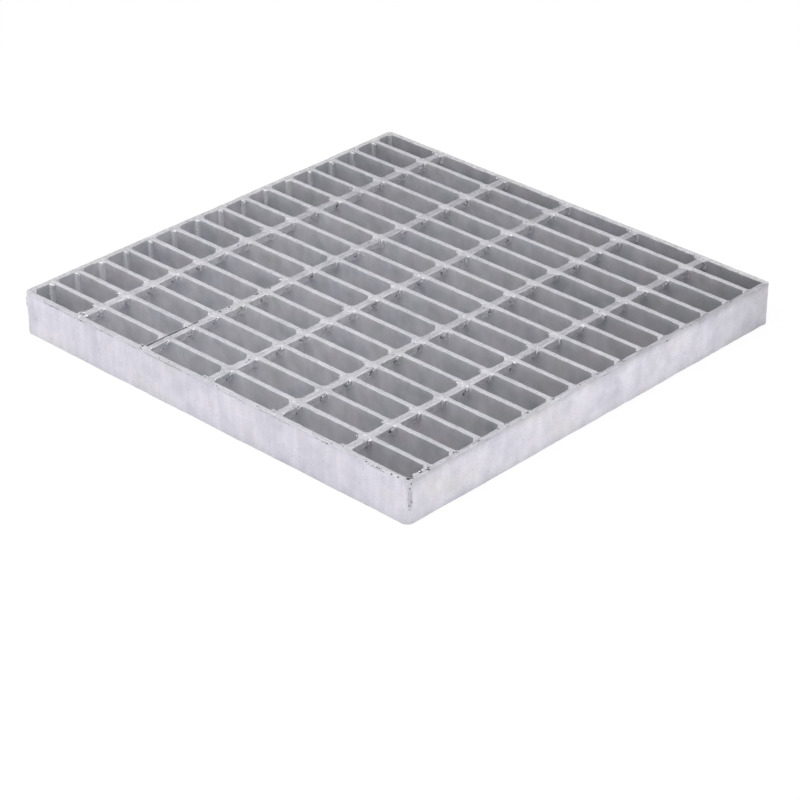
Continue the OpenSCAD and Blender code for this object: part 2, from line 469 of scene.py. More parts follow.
# %% [markdown]
# ## Seams and burnt flux
#
# Where zinc did not take, darker steel shows through. Flux, the salt that cleans steel
# before it is dipped, burns on in places and stays as black crumbs.

# %% Seams
# an open seam: dark grey, with hardly any shine
dark_seam = zinc_coat(
    "bare_seam_under_the_zinc", ("#6c6c72", "#77777d", "#7e7d84", "#747678"),
    run_size=(6, 6, 6), run_depth=0.3, rough=0.7, grit=3.0)
# a seam under a thin skin: a faint grey line; the same grey paints the shadow under the
# lips of the cross bars
faint_seam_and_painted_shadow = zinc_coat(
    "thin_skin_over_the_seam_and_painted_shadow", ("#b8b7bf", "#bebdc5", "#c3c1c9", "#bebec4"),
    run_size=(6, 6, 6), run_depth=0.15, rough=0.6, grit=2.0)

# %% Burnt flux
FLUX_GRAIN = 0.8          # mm

# a salt crust and no metal: matt black to grey, in grains that show as small dark dots
flux_black, tree = new_tree("burnt_flux_residue")
flux_noise = add_node(tree, "ShaderNodeTexNoise", {}, {
    "Vector": add_node(tree, "ShaderNodeTexCoord").outputs["Object"],
    "Scale": 1 / (FLUX_GRAIN * MM), "Detail": 2.0})
flux_colour = add_node(tree, "ShaderNodeValToRGB", {}, {"Fac": flux_noise.outputs["Fac"]})
flux_colour.color_ramp.elements[0].color = linear("#2c2c2e")
flux_colour.color_ramp.elements[1].color = linear("#6a6a6e")
flux = add_node(tree, "ShaderNodeBsdfPrincipled", {}, {
    "Base Color": flux_colour.outputs[0], "Roughness": 0.8})
add_node(tree, "ShaderNodeOutputMaterial", {}, {"Surface": flux.outputs[0]})
print(f"{flux_black.name}: {len(tree.nodes)} nodes")


# %% [markdown]
# ## Working in bmesh
#
# Every piece goes through the same few steps. It starts as a simple solid, is cut across
# at even steps so that it has somewhere to bend, and is then rolled: each corner moves a
# little by a smooth noise that depends only on where it is. Neighbours move together, so
# joints stay shut.

# %% Bmesh helpers
X, Y, Z = range(3)
ON_CUT = 1e-4             # mm: a corner this close to a cut counts as lying on it
TOUCHING = 1e-3           # mm: two places this close count as the same


def everything(bm):
    """All the geometry of a bmesh, as the cutting operator wants it."""
    return bm.verts[:] + bm.edges[:] + bm.faces[:]


def cut_across(bm, axis, low, high, step):
    """Slices a shape at even steps along an axis."""
    count = max(1, round((high - low) / step))
    normal = Vector((0, 0, 0))
    normal[axis] = 1
    for i in range(1, count):
        bmesh.ops.bisect_plane(bm, geom=everything(bm), dist=ON_CUT, plane_no=normal,
                               plane_co=normal * (low + (high - low) * i / count))


def cut_away(bm, point, normal):
    """Removes what lies on the far side of a plane and closes the cut."""
    bmesh.ops.bisect_plane(bm, geom=everything(bm), dist=ON_CUT, plane_co=point,
                           plane_no=normal, clear_outer=True)
    bmesh.ops.holes_fill(bm, edges=[e for e in bm.edges if e.is_boundary], sides=0)


def ease(bm, edges, radius, segments=2):
    """Rounds edges, as rolling and a coat of zinc round them."""
    bmesh.ops.bevel(bm, geom=edges, offset=radius, offset_type="OFFSET", segments=segments,
                    profile=0.5, affect="EDGES", material=-1, clamp_overlap=True)


def roll(bm, amount, size, seed):
    """Moves each corner by a smooth noise: amount and size are in mm along X, Y and Z."""
    for v in bm.verts:
        drift = noise.noise_vector(Vector([c / s + seed for c, s in zip(v.co, size)]))
        v.co += Vector([a * d for a, d in zip(amount, drift)])


def drop(bm, place, size, finish=0):
    """A small ball of metal, stretched to size. finish is the number of its material."""
    made = bmesh.ops.create_uvsphere(
        bm, u_segments=8, v_segments=6, radius=1.0,
        matrix=Matrix.Translation(place) @ Matrix.Diagonal((*size, 1)))
    for v in made["verts"]:
        for face in v.link_faces:
            face.material_index = finish


# %% [markdown]
# ## Finishing a piece
#
# A finished shape is held inside the panel's box, its faces are turned outwards, and each
# face is given its material. Only then is it scaled to metres. Its origin stays at the
# middle of the panel, so a pattern runs on from one piece to the next.

# %% From shape to piece
SHARP_FROM = 50           # degrees: a corner sharper than this is shaded as an edge
TOP_SLOPE = 0.45          # a face that looks up by more than this is part of a top
pieces = []


def hold_inside(bm):
    """Keeps a shape inside the panel's outside and between its top and underside."""
    for v in bm.verts:
        v.co.x = max(-HALF, min(HALF, v.co.x))
        v.co.y = max(-HALF, min(HALF, v.co.y))
        v.co.z = max(0.0, min(DEPTH, v.co.z))


def top_or_wall(face):
    """0 for a face that looks up, 1 for the wall of a cell."""
    return 0 if face.normal.z > TOP_SLOPE else 1


def make_piece(name, bm, finishes, choose=None):
    """Turns a bmesh in millimetres into a finished piece in metres."""
    hold_inside(bm)
    bmesh.ops.recalc_face_normals(bm, faces=bm.faces[:])
    bm.normal_update()
    torn = sum(1 for e in bm.edges if len(e.link_faces) != 2)
    if torn:
        print(f"{name}: {torn} edges are not closed")
    for face in bm.faces:
        face.smooth = True
        if choose:
            face.material_index = choose(face)
    bmesh.ops.scale(bm, vec=(MM, MM, MM), verts=bm.verts[:])
    mesh = bpy.data.meshes.new(name)
    bm.to_mesh(mesh)
    bm.free()
    mesh.set_sharp_from_angle(angle=math.radians(SHARP_FROM))
    for finish in finishes:
        mesh.materials.append(finish)
    piece = bpy.data.objects.new(name, mesh)
    bpy.context.scene.collection.objects.link(piece)
    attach(piece, "root")
    pieces.append(piece)
    return piece


# %% [markdown]
# ## Bearing bars
#
# The bearing bars are 40 x 5 mm flats on edge. A mill rolls a flat with slightly eased
# corners, and the zinc eases them further, so the top is a pale stripe with soft edges.
# One bar is built with its cuts, then copied and rolled fifteen times.

# %% Bearing bars
TOP_DROP = 0.30           # the tops lie this far under the weld metal that floods them
BAR_TOP = DEPTH - TOP_DROP
BAR_EDGE = 0.5            # radius of the eased corners

bar_pattern = bmesh.new()
bmesh.ops.create_cube(bar_pattern, size=1)
bmesh.ops.scale(bar_pattern, vec=(2 * INNER, BAR_THICK, BAR_TOP), verts=bar_pattern.verts[:])
bmesh.ops.translate(bar_pattern, vec=(0, 0, BAR_TOP / 2), verts=bar_pattern.verts[:])
ease(bar_pattern, [e for e in bar_pattern.edges
                   if abs(e.verts[0].co.x - e.verts[1].co.x) > INNER], BAR_EDGE)
cut_across(bar_pattern, Z, 0, BAR_TOP, step=8)
cut_across(bar_pattern, X, -INNER, INNER, step=2.2)
for number, y in enumerate(BAR_YS, 1):
    bm = bar_pattern.copy()
    bmesh.ops.translate(bm, vec=(0, y, 0), verts=bm.verts[:])
    roll(bm, (0, 0.24, 0.18), (38, 9, 22), seed=number * 5.3)
    roll(bm, (0, 0.15, 0.14), (7, 5, 9), seed=number * 2.1)
    roll(bm, (0, 0.28, 0.20), (2.4, 1.6, 2.4), seed=number * 1.3)
    make_piece(f"bearing_bar_{number:02d}", bm, [zinc_on_x_tops, zinc_in_cells_painted_shade],
               top_or_wall)
print(f"bearing bars: {len(pieces)} pieces of {len(pieces[0].data.polygons)} faces")
bar_pattern.free()

# %% [markdown]
# ## Cross bars
#
# The cross bars are 8.5 mm wide and lie flush with the tops. Seen from above each has
# two lips with a shallow hollow between them, and its underside is round. The section is
# drawn once and extruded, then cut and rolled. The second bar was pressed in badly: a
# crack runs just inside its left lip, open over the first two cells and then in pieces.

# %% Section of a cross bar
# pairs of a place across the bar and a height above its top, from left to right
SECTION = [(-CROSS_SIDE, -1.4), (-4.08, -0.60), (-3.72, -0.16), (-3.3, 0.0), (-2.9, 0.0),
           (-2.5, -0.04), (-1.5, -0.12), (-0.5, -0.26), (0.5, -0.34), (1.3, -0.20),
           (1.9, -0.02), (2.4, -0.02), (2.85, -0.26), (3.15, -0.72), (3.5, -1.7),
           (CROSS_SIDE, -3.6)]
ROUND = [(CROSS_SIDE * math.cos(a), CROSS_SIDE * math.sin(a) - CROSS_DEPTH + CROSS_SIDE)
         for a in [-math.pi * i / 8 for i in range(9)]]
cross_pattern = bmesh.new()
outline = [cross_pattern.verts.new((x, -INNER, BAR_TOP + z)) for x, z in SECTION + ROUND]
section_face = bmesh.ops.contextual_create(cross_pattern, geom=outline)["faces"]
drawn = bmesh.ops.extrude_face_region(cross_pattern, geom=section_face)
bmesh.ops.translate(cross_pattern, vec=(0, 2 * INNER, 0),
                    verts=[g for g in drawn["geom"] if isinstance(g, bmesh.types.BMVert)])
cut_across(cross_pattern, Y, -INNER, INNER, step=1.7)
print(f"{len(outline)} corners round the section, {len(cross_pattern.verts)} along the bar")

# %% The crack in the second bar
CRACKED_BAR = 2
CRACK = -2.35             # where it runs, from the middle of the bar: a little to the left
CRACK_EDGES = (-2.7, -2.2)
CRACK_DEEP = 1.3
LIP_SHIFT = 0.35          # the left lip is prised this far away from the bar
CRACK_OPEN_TO = -158      # it is open from the front band to here
CRACK_ENDS = -60


def cracked(y):
    """True along the crack in the second cross bar, which breaks up after two cells."""
    return y < CRACK_OPEN_TO or (
        y < CRACK_ENDS and noise.noise(Vector((y / 5, 2.3, 0.7))) > 0.16)


def crack_top_or_wall(face):
    """As top_or_wall, with 2 for the walls of the crack."""
    centre = face.calc_center_median()
    off = centre.x - CROSS_XS[CRACKED_BAR - 1] - CRACK
    in_crack = -0.85 < off < 0.75 and cracked(centre.y)
    return 2 if in_crack and centre.z > DEPTH - 2 else top_or_wall(face)


def open_crack(bm, x):
    """Sinks the line of corners under the crack and pushes the lip beside it away."""
    for v in bm.verts:
        if v.co.x < x + CRACK_EDGES[1] and v.co.z > DEPTH - 3 and cracked(v.co.y):
            if v.co.x > x + CRACK_EDGES[0]:
                v.co.x, v.co.z = x + CRACK, v.co.z - CRACK_DEEP
            else:
                v.co.x -= LIP_SHIFT


print(f"the crack is open over {CRACK_OPEN_TO + INNER:.0f} mm")

# %% Cross bars
for number, x in enumerate(CROSS_XS, 1):
    bm = cross_pattern.copy()
    bmesh.ops.translate(bm, vec=(x, 0, 0), verts=bm.verts[:])
    if number == CRACKED_BAR:
        open_crack(bm, x)
    shade = crack_top_or_wall if number == CRACKED_BAR else top_or_wall
    chosen = {face: shade(face) for face in bm.faces}
    roll(bm, (0.4, 0, 0.20), (12, 26, 30), seed=number * 7.7)
    roll(bm, (0.42, 0, 0.34), (2.6, 2.8, 4), seed=number * 3.3)
    make_piece(f"cross_bar_{number}", bm, [zinc_on_y_tops, zinc_on_bar_sides_painted_shade, dark_seam],
               chosen.get)
print(f"cross bars: 5 pieces of {len(pieces[-1].data.polygons)} faces")
cross_pattern.free()


# %% [markdown]
# ## Weld metal at the crossings
#
# Where a cross bar passes a bearing bar the two are fused, and the zinc floods the
# corners. On the left of each crossing it makes a wide web, on the right a small one.
# The web behind a bearing bar lies a little below the top. A patch starts as a flat
# outline, is extruded to the depth of the cross bar, and its rim is eased.

# %% Patches of weld metal
def weld_patch(bm, outline, top, depth, taper, rim):
    """One puddle of weld metal: an outline in plan, extruded down and eased at its rim."""
    corners = [bm.verts.new((x, y, top)) for x, y in outline]
    cap = bmesh.ops.contextual_create(bm, geom=corners)["faces"]
    walls = bmesh.ops.extrude_face_region(bm, geom=cap)["geom"]
    lower = [g for g in walls if isinstance(g, bmesh.types.BMVert)]
    bmesh.ops.translate(bm, vec=(0, 0, -depth), verts=lower)
    bmesh.ops.scale(bm, vec=(taper, taper, 1), verts=lower)
    ease(bm, [e for e in bm.edges if all(v in corners for v in e.verts)], rim)


def hollowed(points, pull):
    """Bends the first side of an outline inwards by some millimetres, as a fillet bends."""
    start, end = Vector(points[0]), Vector(points[1])
    inward = Vector((start.y - end.y, end.x - start.x)).normalized() * pull
    bent = [start.lerp(end, i / 4) + inward * math.sin(math.pi * i / 4) for i in range(5)]
    return bent + points[2:]


# %% [markdown]
# Each crossing is drawn round its own middle and then moved to its place. Where the
# second cross bar is cracked the web is cracked too, so it is made as two patches with a
# dark line between them. A few bright beads sit on every web, more of them on the left.

# %% Webs
WEB_TOP = DEPTH - 0.2
BACK_WEB_TOP = DEPTH - 1.4
WEB_LEFT, WEB_FRONT = 5.0, 5.5         # how far the wide web reaches along each bar
WEB_TAPER = 0.8                        # a web is this much smaller at its foot
CRACK_WALLS = (-3.1, -1.7)             # where a cracked web stops on both sides
BEAD_SHARE = 0.6                       # share of the beads that sit on the wide web

finishes = [zinc_on_welds, zinc_in_cells_painted_shade, bright_beads, dark_seam]
bead, seam = map(finishes.index, (bright_beads, dark_seam))
for column, x in enumerate(CROSS_XS, 1):
    bm = bmesh.new()
    chance = random.Random(100 + column)
    for y in BAR_YS:
        grow = chance.uniform(1.0, 1.2)
        before = set(bm.verts)
        front = hollowed([(-CROSS_SIDE - WEB_LEFT * grow, -BAR_SIDE),
                          (-CROSS_SIDE, -BAR_SIDE - WEB_FRONT * grow), (CROSS_SIDE, -4.1),
                          (5.6, -BAR_SIDE), (4.8, 1.6), (-7.0, 1.6)], pull=0.8)
        if column == CRACKED_BAR and y < CRACK_OPEN_TO:
            left, right = CRACK_WALLS
            left_part = front[:5] + [(left, -BAR_SIDE - 5.0 * grow), (left, 1.6), front[-1]]
            right_part = [(right, -5.4)] + front[5:-1] + [(right, 1.6)]
            weld_patch(bm, left_part, WEB_TOP, CROSS_DEPTH, WEB_TAPER, rim=0.3)
            weld_patch(bm, right_part, WEB_TOP, CROSS_DEPTH, WEB_TAPER, rim=0.3)
            drop(bm, (CRACK, 0, DEPTH - 0.3), (0.5, 3.6, 0.22), seam)
        else:
            weld_patch(bm, front, WEB_TOP, CROSS_DEPTH, WEB_TAPER, rim=0.7)
        for _ in range(chance.randint(5, 8)):
            if chance.random() < BEAD_SHARE:
                spot = (chance.uniform(-8.0, -2.5), chance.uniform(-6.0, -0.5))
            else:
                spot = (chance.uniform(1.0, 4.6), chance.uniform(-3.6, -1.0))
            drop(bm, (*spot, DEPTH - 0.42),
                 (chance.uniform(0.5, 1.2), chance.uniform(0.4, 0.9), 0.44), bead)
        back = [(6.2, 1.5), (CROSS_SIDE, 4.4), (-CROSS_SIDE, BAR_SIDE + 5.0 * grow),
                (-CROSS_SIDE - 4.6 * grow, 1.5)]
        weld_patch(bm, back, BACK_WEB_TOP, CROSS_DEPTH - 1.5, taper=0.85, rim=0.8)
        fresh = [v for v in bm.verts if v not in before]
        bmesh.ops.translate(bm, vec=(x, y, 0), verts=fresh)
    roll(bm, (0.7, 0.7, 0.10), (3.5, 3.5, 6), seed=column * 9.1)
    make_piece(f"crossing_welds_{column}", bm, finishes,
               lambda face: face.material_index or top_or_wall(face))
    print(f"column {column}: {len(pieces[-1].data.polygons)} faces in 15 crossings")


# %% [markdown]
# ## Drops and runs of zinc
#
# Zinc that ran off a crossing froze in the corner on its right: a bright bead at the
# lip, a comb of short runs below it, and sometimes a long one down the wall. Under the
# lip of the cross bar a grey stain with dark crumbs in the flux finish is a painted shadow.
# Each of these is a small ball, stretched to its shape.

# %% Drops, runs and flux
COMB_AT = 5.8             # how far right of the middle of the cross bar the comb starts
# the stained hollow below is a painted shadow under the lip
PAINTED_SHADOW_SHARE = 0.85         # share of the crossings that have a stained hollow

finishes = [zinc_on_welds, flux_black, bright_beads, faint_seam_and_painted_shadow]
# skin is the faint grey that paints the shadow under the lip
flux, bead, skin = map(finishes.index, (flux_black, bright_beads, faint_seam_and_painted_shadow))
for column, x in enumerate(CROSS_XS, 1):
    bm = bmesh.new()
    chance = random.Random(200 + column)
    for y in BAR_YS:
        face_y = y - BAR_SIDE
        # the bead at the lip
        for _ in range(chance.randint(1, 3)):
            drop(bm, (x + 4.9 + chance.uniform(-1.4, 0.6), face_y - chance.uniform(0.2, 1.9),
                      DEPTH - 0.62),
                 (chance.uniform(0.4, 1.2), chance.uniform(0.4, 1.1), 0.6), bead)
        # a comb of short runs that steps down and forward along the side of the cross bar
        teeth = chance.randint(2, 5)
        for i in range(teeth):
            forward = 0.3 + i * chance.uniform(0.9, 1.3)
            length = chance.uniform(0.5, 1.4) + (1.0 if 2.2 < forward < 3.8 else 0.0)
            drop(bm, (x + COMB_AT - 0.9 * min(forward, 1.5), face_y - forward,
                      DEPTH - 0.6 - forward * 0.2 - length * 0.8),
                 (0.5, chance.uniform(0.3, 0.55), length), bead)
        # long thin runs down the wall of the bearing bar
        for _ in range(chance.randint(0, 2)):
            length = chance.uniform(0.8, 2.6)
            drop(bm, (x + chance.uniform(5.2, 7.5), face_y - 0.1, DEPTH - 1.2 - length),
                 (chance.uniform(0.35, 0.5), 0.4, length), bead)
        # a painted shadow under the lip of the cross bar: a grey stain with dark crumbs in it
        if chance.random() < PAINTED_SHADOW_SHARE:
            forward = chance.uniform(5.2, 7.2)
            drop(bm, (x + 3.55, face_y - forward, DEPTH - chance.uniform(3.8, 5.0)),
                 (0.85, chance.uniform(1.6, 2.6), chance.uniform(1.3, 2.2)), skin)
            for _ in range(chance.randint(2, 5)):
                drop(bm, (x + 4.05, face_y - forward + chance.uniform(-1.8, 1.8),
                          DEPTH - chance.uniform(2.6, 5.6)),
                     (0.5, chance.uniform(0.3, 1.1), chance.uniform(0.3, 0.9)), flux)
    roll(bm, (0.35, 0.35, 0.35), (1.1, 1.1, 1.5), seed=column * 4.9)
    make_piece(f"zinc_runs_{column}", bm, finishes)
print(f"runs: {sum(len(p.data.polygons) for p in pieces[-5:])} faces")


# %% [markdown]
# ## Fillet welds at the bar ends
#
# Both ends of every bearing bar are welded to the bands for their full depth. A weld
# laid in a corner stands proud in the middle and is rippled where the pool froze. On the
# other side of the bar the zinc only rounds the corner, so that one is hollow.

# %% Fillets
FILLET_STEPS = 11         # how often a fillet is cut on its way up, so that it can ripple
BURIED = 0.6              # how far it reaches into the flats that it joins
FILLET_RIM = 0.9


def fillet(bm, corner, side_x, side_y, leg_x, leg_y, bulge, top):
    """A weld in a vertical corner: bulge is how far its middle stands out, in mm."""
    x, y = corner
    start = Vector((x + side_x * leg_x, y - side_y * BURIED, 0))
    end = Vector((x - side_x * BURIED, y + side_y * leg_y, 0))
    outward = Vector((side_x * leg_y, side_y * leg_x, 0)).normalized()
    slope = [start.lerp(end, i / 5) + outward * bulge * math.sin(math.pi * i / 5)
             for i in range(6)]
    root = Vector((x - side_x * BURIED, y - side_y * BURIED, 0))
    plan = [bm.verts.new(p) for p in [root] + slope]
    grown = bmesh.ops.contextual_create(bm, geom=plan)["faces"]
    for step in range(FILLET_STEPS):
        made = bmesh.ops.extrude_face_region(bm, geom=grown)["geom"]
        if step:                               # only the foot keeps the face it grew from
            bmesh.ops.delete(bm, geom=grown, context="FACES_ONLY")
        grown = [g for g in made if isinstance(g, bmesh.types.BMFace)]
        bmesh.ops.translate(bm, vec=(0, 0, top / FILLET_STEPS),
                            verts=[g for g in made if isinstance(g, bmesh.types.BMVert)])
    ease(bm, [e for f in grown for e in f.edges], FILLET_RIM)


# %% [markdown]
# The welds at the left end were laid from the front, so the forward side of each is a
# full round bead, and its faces that look forward carry a painted highlight in the bright
# bead finish. At the right end they are flatter. Each row below holds the two legs and the
# bulge of the forward weld, then those of the one behind it.

# %% End welds
END_WELDS = (("left", 1, (4.6, 3.1, 1.5), (3.6, 4.4, -0.9)),
             ("right", -1, (4.2, 5.2, 0.3), (1.6, 1.8, -0.2)))
LIT_FROM = 4.4            # mm in front of the middle of its bar, where a bead is bright

finishes = [zinc_on_welds, zinc_in_cells_painted_shade, bright_beads]
wall, bead = map(finishes.index, (zinc_in_cells_painted_shade, bright_beads))


def end_weld_finish_with_painted_highlight(face):
    """The side of a left bead that looks forward takes a painted highlight, and the rest is as
    the walls.
    """
    centre = face.calc_center_median()
    if face.material_index or face.normal.z > 0.5:
        return face.material_index
    forward = min((y - centre.y for y in BAR_YS if y - centre.y > -4), default=0)
    return bead if forward > LIT_FROM and face.normal.y < -0.6 and centre.x < 0 else wall


for name, side, lit, far in END_WELDS:
    bm = bmesh.new()
    chance = random.Random(300 + side)
    for y in BAR_YS:
        for side_y, (leg_x, leg_y, bulge) in ((-1, lit), (1, far)):
            size = chance.uniform(0.85, 1.12)
            fillet(bm, (-side * INNER, y + side_y * BAR_SIDE), side, side_y,
                   leg_x * size, leg_y * size, bulge, DEPTH - 0.25)
        if side > 0:
            for _ in range(chance.randint(3, 6)):
                drop(bm, (-INNER + chance.uniform(0.6, 4.4), y - chance.uniform(2.8, 4.6),
                          DEPTH - chance.uniform(0.7, 2.4)),
                     (chance.uniform(0.5, 1.5), chance.uniform(0.5, 1.1),
                      chance.uniform(0.5, 1.0)), bead)
    roll(bm, (0.45, 0.45, 0.0), (5, 5, 4.5), seed=side * 6.1)
    make_piece(f"end_welds_{name}", bm, finishes, end_weld_finish_with_painted_highlight)
    print(f"{name} end welds: {len(pieces[-1].data.polygons)} faces")

# %% [markdown]
# ## Bands
#
# The bands are the same 40 x 5 mm flat. Starting from one solid plate the size of the
# panel, with its four corners rounded as the welder dressed them, each band is what is
# left when the rest of the plate is cut away. Their corners then meet exactly. The zinc
# on them undulates, so the long edges are never quite straight.

# %% The plate
CORNER_RADII = {(1, -1): 7.0, (-1, -1): 6.0, (1, 1): 2.5, (-1, 1): 4.0}
plate = bmesh.new()
bmesh.ops.create_cube(plate, size=1)
bmesh.ops.scale(plate, vec=(2 * HALF, 2 * HALF, DEPTH), verts=plate.verts[:])
bmesh.ops.translate(plate, vec=(0, 0, DEPTH / 2), verts=plate.verts[:])
for (side_x, side_y), radius in CORNER_RADII.items():
    upright = [e for e in plate.edges if abs(e.verts[0].co.z - e.verts[1].co.z) > 1
               and (e.verts[0].co.x > 0) == (side_x > 0)
               and (e.verts[0].co.y > 0) == (side_y > 0)]
    ease(plate, upright, radius, 8)
DRESSED_RADIUS = CORNER_RADII[(1, -1)]
# the middle of the arc that the front right corner weld was dressed round
CORNER_MIDDLE = Vector((HALF - DRESSED_RADIUS, -HALF + DRESSED_RADIUS, 0))
print("plate corners:", CORNER_RADII)

# %% [markdown]
# Just under the top edge of each band the zinc bridged a thin seam. In some stretches it
# is whole, in some only a thin skin, and in some it gapes. Two smooth noises along the
# band choose between the three, so that the stretches start and stop as if by accident.

# %% The seam under the top edges
SEAM_LEVELS = (38.05, 38.5, 38.95)
SEAM_DEPTH = (0.0, 0.25, 0.6)          # whole, under a thin skin, and open
SEAM_START = {(Y, -1): -0.10, (X, 1): 0.30, (Y, 1): 0.1, (X, -1): 0.1}


def seam_state(along, other, side):
    """0 where the skin of zinc under the top edge of a band is whole, up to 2 where it gapes."""
    slow = noise.noise(Vector((along / 24, other * 7.3, side * 3.1)))
    fast = noise.noise(Vector((along / 5, side * 2.2, 9.7)))
    start = SEAM_START[(other, side)]
    if slow + 0.3 * fast < start:
        return 0
    return 2 if slow + 0.9 * fast > start + 0.36 else 1


# %% Where a band is eased
def rim_edges(bm, length_axis):
    """The long edges of a band, without the lines where its neighbours butt against it."""
    other = 1 - length_axis
    rims = []
    for e in bm.edges:
        a, b = e.verts[0].co, e.verts[1].co
        middle = (a + b) / 2
        level = abs(a.z - b.z) < TOUCHING and \
            (middle.z < TOUCHING or middle.z > DEPTH - TOUCHING)
        inner_line = abs(abs(middle[other]) - INNER) < TOUCHING and \
            abs(a[other] - b[other]) < TOUCHING
        butted = (inner_line and abs(middle[length_axis]) > INNER) or \
            (not inner_line and abs(abs(a[length_axis]) - INNER) < TOUCHING
             and abs(abs(b[length_axis]) - INNER) < TOUCHING)
        if level and not butted:
            rims.append(e)
    return rims


# %% [markdown]
# The right band differs from the others in two ways: its top edges are rounder, and less
# of the rounding counts as its top. At the front right corner the front and right bands
# share a strip of dressed weld, which starts a third of the way up.

# %% Bands
BAND_TOP = DEPTH - 0.12   # specks and lumps stand just above the tops
DRESSED_FROM = 13         # mm above the underside
DRESSED_ARC = (-46, -11)  # degrees: 0 looks along X and -90 to the front
# the finishes of a band, by their place in its list
outer, top, cell_side, thin_skin, open_seam, dressed, end_strip = range(7)


def on_dressed_weld(centre):
    """True on the strip of dressed weld round the front right corner."""
    off = centre - CORNER_MIDDLE
    return centre.z > DRESSED_FROM and centre.xy.dot(Vector((1, -1))) > 2 * HALF - 5.2 and \
        DRESSED_ARC[0] < math.degrees(math.atan2(off.y, off.x)) < DRESSED_ARC[1]


def band(name, cuts, length_axis, side, top_coat, rim=0.8, top_slope=0.6):
    """One band: the plate with the rest cut away, its long edges eased and its faces cut."""
    bm = plate.copy()
    for point, normal in cuts:
        cut_away(bm, point, normal)
    other = 1 - length_axis
    if length_axis == X:
        for x in (-INNER, INNER):
            bmesh.ops.bisect_plane(bm, geom=everything(bm), dist=ON_CUT, plane_no=(1, 0, 0),
                                   plane_co=(x, 0, 0))
    ease(bm, rim_edges(bm, length_axis), rim)
    cut_across(bm, Z, 0, DEPTH, step=5)
    for level in SEAM_LEVELS:
        bmesh.ops.bisect_plane(bm, geom=everything(bm), dist=ON_CUT, plane_no=(0, 0, 1),
                               plane_co=(0, 0, level))
    cut_across(bm, length_axis, -HALF, HALF, step=2.5)
    for v in bm.verts:
        if abs(v.co.z - SEAM_LEVELS[1]) < TOUCHING and abs(v.co[other]) > HALF - 0.1:
            v.co[other] -= side * SEAM_DEPTH[seam_state(v.co[length_axis], other, side)]
    roll(bm, (0.30, 0.30, 0.42), (42, 42, 60), seed=1.7)
    roll(bm, (0.20, 0.20, 0.26), (8, 8, 30), seed=8.3)
    roll(bm, (0.14, 0.14, 0.22), (2.6, 2.6, 5), seed=4.1)
    for v in bm.verts:
        v.co.z = min(v.co.z, BAND_TOP)

    def which(face):
        """The place of a face's finish in the list of the band's finishes."""
        centre = face.calc_center_median()
        if face.normal.z > top_slope:
            return top
        if on_dressed_weld(centre):
            return dressed
        # the ends of the back band take the end bands' coat, with its painted shade at the back
        if name == "back_band_flat" and abs(face.normal.x) > 0.3:
            return end_strip
        if SEAM_LEVELS[0] - 0.1 < centre.z < SEAM_LEVELS[2] + 0.1 and \
                side * centre[other] > HALF - 1.2:
            gape = seam_state(centre[length_axis], other, side)
            if gape:
                return (thin_skin, open_seam)[gape - 1]
        inside = side * face.normal[other] < -0.3 and abs(centre[length_axis]) < INNER
        return cell_side if inside else outer

    coat = zinc_on_bands if length_axis == X else zinc_on_end_bands
    return make_piece(name, bm, [coat, top_coat, zinc_in_cells_painted_shade, faint_seam_and_painted_shadow, dark_seam,
                                 dressed_weld, zinc_on_end_bands], which)


front = [((0, -INNER, 0), (0, 1, 0))]
back = [((0, INNER, 0), (0, -1, 0))]
ends = [((0, -INNER, 0), (0, -1, 0)), ((0, INNER, 0), (0, 1, 0))]
left = ends + [((-INNER, 0, 0), (1, 0, 0))]
right = ends + [((INNER, 0, 0), (-1, 0, 0))]
front_flat = band("front_band_flat", front, X, -1, zinc_on_x_tops)
back_flat = band("back_band_flat", back, X, 1, zinc_on_far_tops)
left_flat = band("left_band_flat", left, Y, -1, zinc_on_far_tops)
right_flat = band("right_band_flat", right, Y, 1, zinc_on_y_tops, rim=1.2, top_slope=0.85)
plate.free()
print("bands:", [len(p.data.polygons) for p in pieces[-4:]], "faces")

# %% [markdown]
# ## Corner welds
#
# The bands are welded inside the two left corners. The front right corner was welded from
# outside and dressed round: a bright run of zinc comes down beside a lumpy, half open
# seam, and the lip above it is ragged and black with flux.

# %% Inner corner welds
finishes = [zinc_on_welds, bright_beads, dressed_weld, flux_black, zinc_on_end_bands, dark_seam]
weld, bead, dressed, flux, pale, seam = range(6)
bm = bmesh.new()
fillet(bm, (-INNER, -INNER), 1, 1, 6.0, 6.0, -1.5, DEPTH - 0.1)
fillet(bm, (-INNER, INNER), 1, -1, 3.2, 3.2, 0.5, DEPTH - 0.3)
for height, size in ((32.5, 3.2), (28.0, 3.6)):
    drop(bm, (-HALF + 2.1, -HALF + 2.1, height), (1.4, 1.4, size))
print("inner corner welds:", len(bm.faces), "faces")

# %% The dressed corner
RUN_TURN = -64            # degrees, as in DRESSED_ARC
LUMP_TURNS = (-36, -20)
SPOT_TURN = -28
chance = random.Random(400)


def on_corner(angle, height, out=0.0):
    """A point on the rounded corner: angle 0 looks along X and -90 to the front."""
    turn = math.radians(angle)
    reach = DRESSED_RADIUS + out
    return CORNER_MIDDLE + Vector((math.cos(turn) * reach, math.sin(turn) * reach, height))


for height in range(4, 37, 3):
    drop(bm, on_corner(RUN_TURN + chance.uniform(-3, 3), height, -0.55),
         (1.1, 0.8, chance.uniform(2.5, 5)), pale)
for turn in LUMP_TURNS:
    for height in (36.5, 32.5, 28, 23, 18, 14):
        drop(bm, on_corner(turn + chance.uniform(-3, 3), height, -1.4),
             (1.7, 1.7, chance.uniform(2.4, 4)), dressed)
for height, finish in ((36.6, flux), (32.4, flux), (20.4, seam), (17.4, seam)):
    drop(bm, on_corner(SPOT_TURN + chance.uniform(-11, 11), height, 0.0),
         (0.55, 0.55, chance.uniform(0.4, 0.9)), finish)
print("with the dressed corner:", len(bm.faces), "faces")

# %% The ragged lip
LIP_COUNT, LIP_PITCH = 16, 1.5
